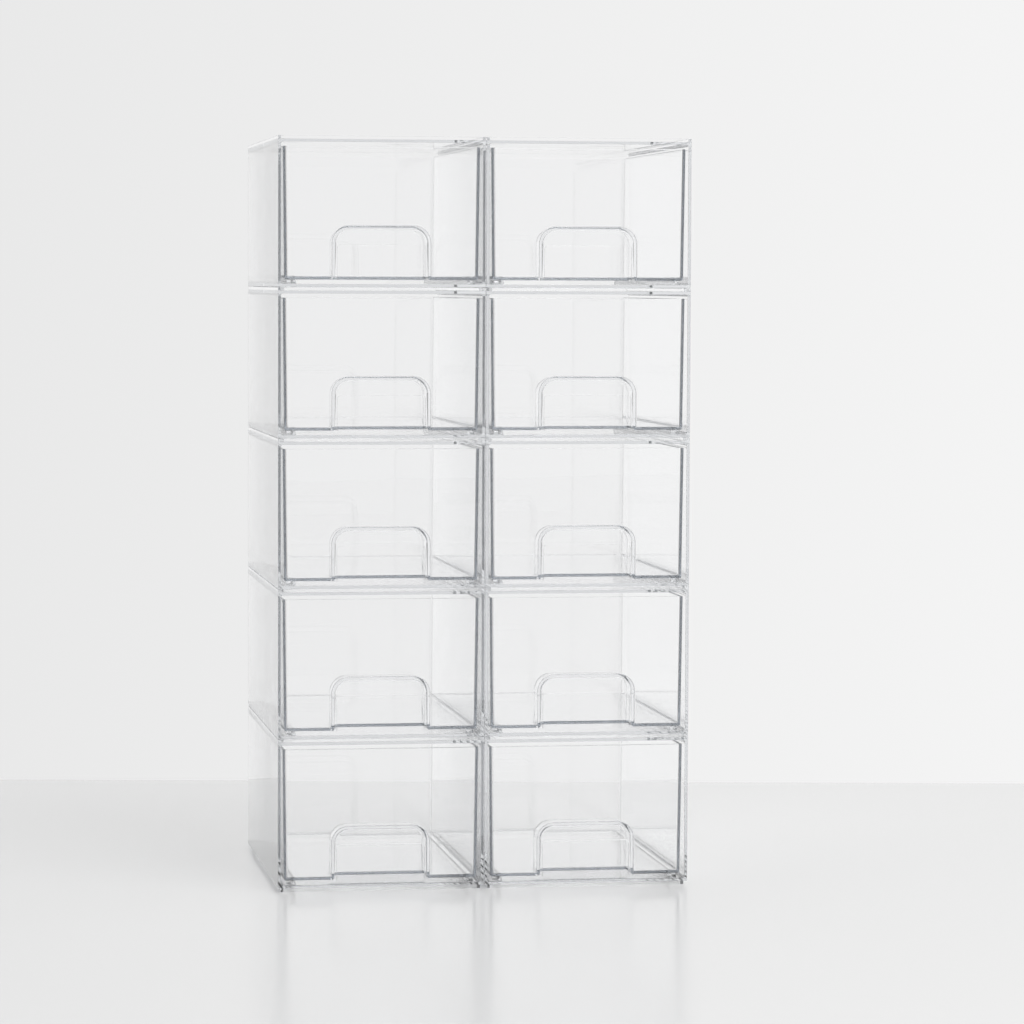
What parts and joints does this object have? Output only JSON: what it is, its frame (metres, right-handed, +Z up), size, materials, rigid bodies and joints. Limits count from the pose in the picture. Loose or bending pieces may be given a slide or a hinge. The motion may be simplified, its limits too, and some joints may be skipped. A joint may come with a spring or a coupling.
{
  "type": "stackable drawer box",
  "caption": "Clear stacking drawer boxes in columns: each open-fronted casing seats in the rim below and holds a drawer with an arched finger pocket.",
  "frame": {"origin": "middle of the footprint of the whole block, at the level that the feet stand on", "axes": "+Z up; the drawers' fronts face -Y; +X to the right as seen from the fronts"},
  "size_m": [0.302, 0.238, 0.5465],
  "materials": {
    "casing_plastic": "clear, polished, faint blue-grey tint at the edges",
    "drawer_plastic": "clear, polished, blue-grey at the edges"
  },
  "bodies": {
    "bottom_casings": {"casing_left_row1": "casing_plastic", "casing_right_row1": "casing_plastic"},
    "drawer_left_row1": {"drawer_left_row1": "drawer_plastic"},
    "casing_left_row2": {"casing_left_row2": "casing_plastic"},
    "drawer_left_row2": {"drawer_left_row2": "drawer_plastic"},
    "casing_left_row3": {"casing_left_row3": "casing_plastic"},
    "drawer_left_row3": {"drawer_left_row3": "drawer_plastic"},
    "casing_left_row4": {"casing_left_row4": "casing_plastic"},
    "drawer_left_row4": {"drawer_left_row4": "drawer_plastic"},
    "casing_left_row5": {"casing_left_row5": "casing_plastic"},
    "drawer_left_row5": {"drawer_left_row5": "drawer_plastic"},
    "drawer_right_row1": {"drawer_right_row1": "drawer_plastic"},
    "casing_right_row2": {"casing_right_row2": "casing_plastic"},
    "drawer_right_row2": {"drawer_right_row2": "drawer_plastic"},
    "casing_right_row3": {"casing_right_row3": "casing_plastic"},
    "drawer_right_row3": {"drawer_right_row3": "drawer_plastic"},
    "casing_right_row4": {"casing_right_row4": "casing_plastic"},
    "drawer_right_row4": {"drawer_right_row4": "drawer_plastic"},
    "casing_right_row5": {"casing_right_row5": "casing_plastic"},
    "drawer_right_row5": {"drawer_right_row5": "drawer_plastic"}
  },
  "joints": [
    {"name": "pull_left_row1", "type": "slide", "parent": "bottom_casings", "child": "drawer_left_row1", "axis": [0, -1, 0], "range_m": [0, 0.165]},
    {"name": "lift_left_row2", "type": "slide", "parent": "bottom_casings", "child": "casing_left_row2", "axis": [0, 0, 1], "range_m": [0, 0.03]},
    {"name": "pull_left_row2", "type": "slide", "parent": "casing_left_row2", "child": "drawer_left_row2", "axis": [0, -1, 0], "range_m": [0, 0.165]},
    {"name": "lift_left_row3", "type": "slide", "parent": "casing_left_row2", "child": "casing_left_row3", "axis": [0, 0, 1], "range_m": [0, 0.03]},
    {"name": "pull_left_row3", "type": "slide", "parent": "casing_left_row3", "child": "drawer_left_row3", "axis": [0, -1, 0], "range_m": [0, 0.165]},
    {"name": "lift_left_row4", "type": "slide", "parent": "casing_left_row3", "child": "casing_left_row4", "axis": [0, 0, 1], "range_m": [0, 0.03]},
    {"name": "pull_left_row4", "type": "slide", "parent": "casing_left_row4", "child": "drawer_left_row4", "axis": [0, -1, 0], "range_m": [0, 0.165]},
    {"name": "lift_left_row5", "type": "slide", "parent": "casing_left_row4", "child": "casing_left_row5", "axis": [0, 0, 1], "range_m": [0, 0.03]},
    {"name": "pull_left_row5", "type": "slide", "parent": "casing_left_row5", "child": "drawer_left_row5", "axis": [0, -1, 0], "range_m": [0, 0.165]},
    {"name": "pull_right_row1", "type": "slide", "parent": "bottom_casings", "child": "drawer_right_row1", "axis": [0, -1, 0], "range_m": [0, 0.165]},
    {"name": "lift_right_row2", "type": "slide", "parent": "bottom_casings", "child": "casing_right_row2", "axis": [0, 0, 1], "range_m": [0, 0.03]},
    {"name": "pull_right_row2", "type": "slide", "parent": "casing_right_row2", "child": "drawer_right_row2", "axis": [0, -1, 0], "range_m": [0, 0.165]},
    {"name": "lift_right_row3", "type": "slide", "parent": "casing_right_row2", "child": "casing_right_row3", "axis": [0, 0, 1], "range_m": [0, 0.03]},
    {"name": "pull_right_row3", "type": "slide", "parent": "casing_right_row3", "child": "drawer_right_row3", "axis": [0, -1, 0], "range_m": [0, 0.165]},
    {"name": "lift_right_row4", "type": "slide", "parent": "casing_right_row3", "child": "casing_right_row4", "axis": [0, 0, 1], "range_m": [0, 0.03]},
    {"name": "pull_right_row4", "type": "slide", "parent": "casing_right_row4", "child": "drawer_right_row4", "axis": [0, -1, 0], "range_m": [0, 0.165]},
    {"name": "lift_right_row5", "type": "slide", "parent": "casing_right_row4", "child": "casing_right_row5", "axis": [0, 0, 1], "range_m": [0, 0.03]},
    {"name": "pull_right_row5", "type": "slide", "parent": "casing_right_row5", "child": "drawer_right_row5", "axis": [0, -1, 0], "range_m": [0, 0.165]}
  ]
}
